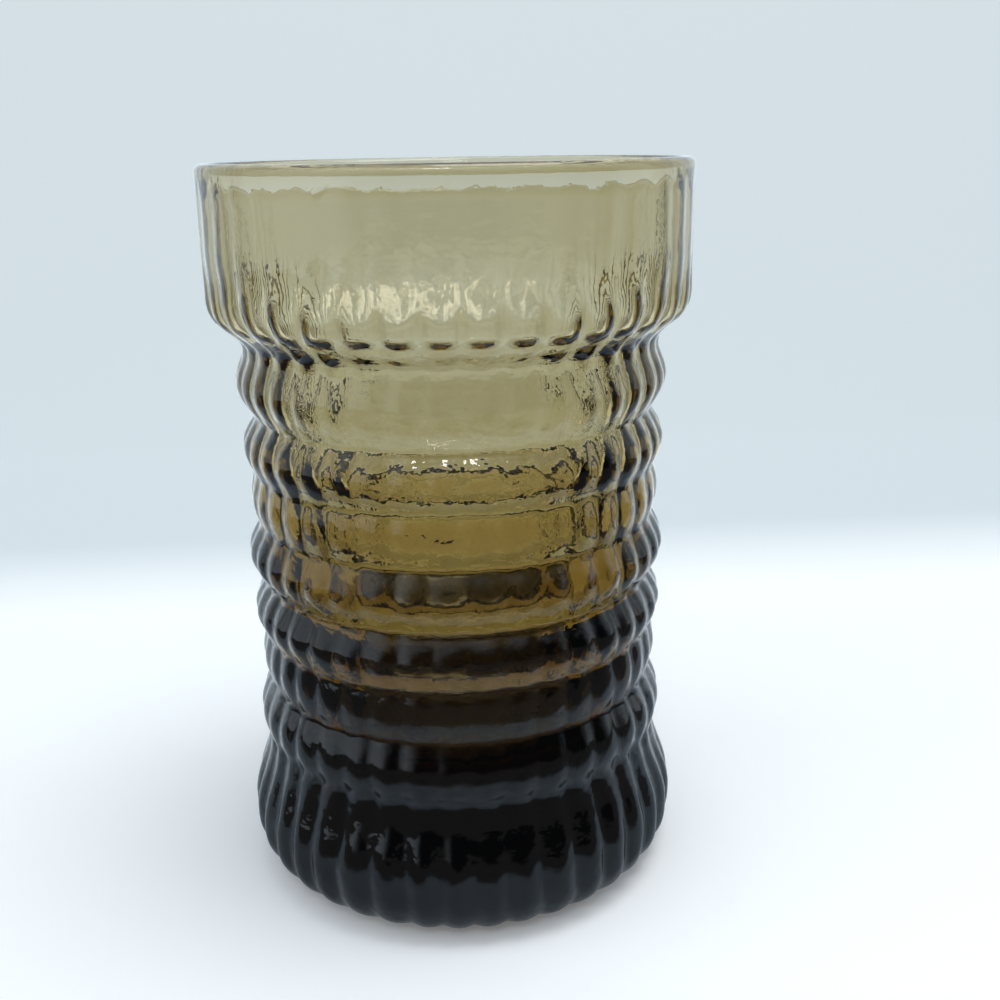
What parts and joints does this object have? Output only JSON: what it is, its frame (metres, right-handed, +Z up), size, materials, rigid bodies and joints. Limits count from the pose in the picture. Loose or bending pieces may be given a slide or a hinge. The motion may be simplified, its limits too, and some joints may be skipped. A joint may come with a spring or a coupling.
{
  "type": "water tumbler",
  "caption": "Smoked glass water tumbler with a straight fluted cup, a drawn-in neck, stacked rings down its body and a thick flared foot.",
  "frame": {"origin": "centre of the foot, on the surface that the glass stands on", "axes": "+Z up along the glass's axis; the middle of a valley between two flutes faces -Y"},
  "size_m": [0.0784, 0.0784, 0.12],
  "materials": {
    "smoked_glass": "clear gloss, smoky brown"
  },
  "bodies": {
    "root": {"tumbler_glass": "smoked_glass"}
  },
  "joints": []
}
